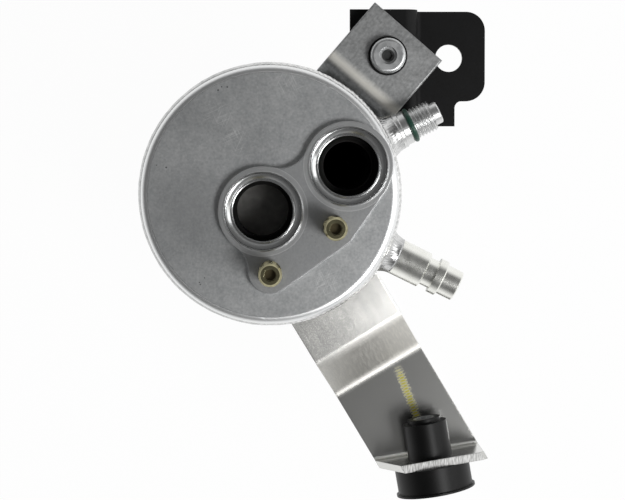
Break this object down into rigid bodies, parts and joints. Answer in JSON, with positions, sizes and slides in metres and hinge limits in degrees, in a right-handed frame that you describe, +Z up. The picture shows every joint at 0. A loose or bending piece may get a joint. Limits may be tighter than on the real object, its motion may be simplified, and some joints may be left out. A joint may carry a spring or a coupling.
{
  "type": "suction line accumulator",
  "caption": "Welded aluminium suction accumulator with a ported cap, side fittings for a switch and a service hose, and rubber-isolated mounting bracket and strap.",
  "frame": {"origin": "centre of the can's flat base", "axes": "+Z up the can's axis, towards the ports; +X towards the side fittings; +Y towards the bracket with the bolt"},
  "size_m": [0.1264, 0.1827, 0.21],
  "materials": {
    "cap_aluminium": "machined, satin, slightly mottled",
    "can_aluminium": "drawn, satin",
    "weld_aluminium": "rippled weld bead",
    "sheet_aluminium": "rolled sheet",
    "zinc_steel": "yellow zinc plated",
    "turned_aluminium": "turned, bright",
    "seal_rubber": "moulded, dark green",
    "valve_brass": "turned",
    "spring_steel": "drawn wire",
    "black_rubber": "moulded, satin",
    "plated_steel": "zinc plated",
    "black_coat": "black coated",
    "tube_aluminium": "drawn",
    "filter_plastic": "moulded",
    "filter_mesh": "woven mesh",
    "bag_felt": "felted"
  },
  "bodies": {
    "accumulator": {"canister_cap": "cap_aluminium", "canister_shell": "can_aluminium", "girth_weld": "weld_aluminium", "switch_fitting_weld": "weld_aluminium", "service_port_weld": "weld_aluminium", "upper_tab_welds": "weld_aluminium", "lower_strap_welds": "weld_aluminium", "upper_tab": "sheet_aluminium", "lower_strap": "sheet_aluminium", "port_studs": "zinc_steel", "switch_fitting": "turned_aluminium", "service_port": "turned_aluminium", "switch_o_ring": "seal_rubber", "switch_valve_core": "valve_brass", "service_valve_core": "valve_brass", "switch_valve_spring": "spring_steel", "service_valve_spring": "spring_steel", "upper_bush": "black_rubber", "rubber_isolator": "black_rubber", "upper_sleeve": "plated_steel", "upper_bolt": "plated_steel", "upper_nut": "plated_steel", "isolator_sleeve": "plated_steel", "mounting_bracket": "black_coat", "outlet_u_tube": "tube_aluminium", "inlet_deflector": "tube_aluminium", "oil_filter_cup": "filter_plastic", "bag_tie": "filter_plastic", "oil_filter_screen": "filter_mesh", "desiccant_bag": "bag_felt"},
    "switch_valve_pin": {"switch_valve_pin": "spring_steel"},
    "service_valve_pin": {"service_valve_pin": "spring_steel"}
  },
  "joints": [
    {"name": "switch_valve_pin_press", "type": "slide", "parent": "accumulator", "child": "switch_valve_pin", "axis": [-0.9011, -0.4337, 0], "range_m": [0, 0.0015], "stiffness_N_per_m": 800, "springref_m": -0.002, "deforming": ["switch_valve_spring"]},
    {"name": "service_valve_pin_press", "type": "slide", "parent": "accumulator", "child": "service_valve_pin", "axis": [-0.8942, 0.4478, 0], "range_m": [0, 0.0015], "stiffness_N_per_m": 800, "springref_m": -0.002, "deforming": ["service_valve_spring"]}
  ]
}
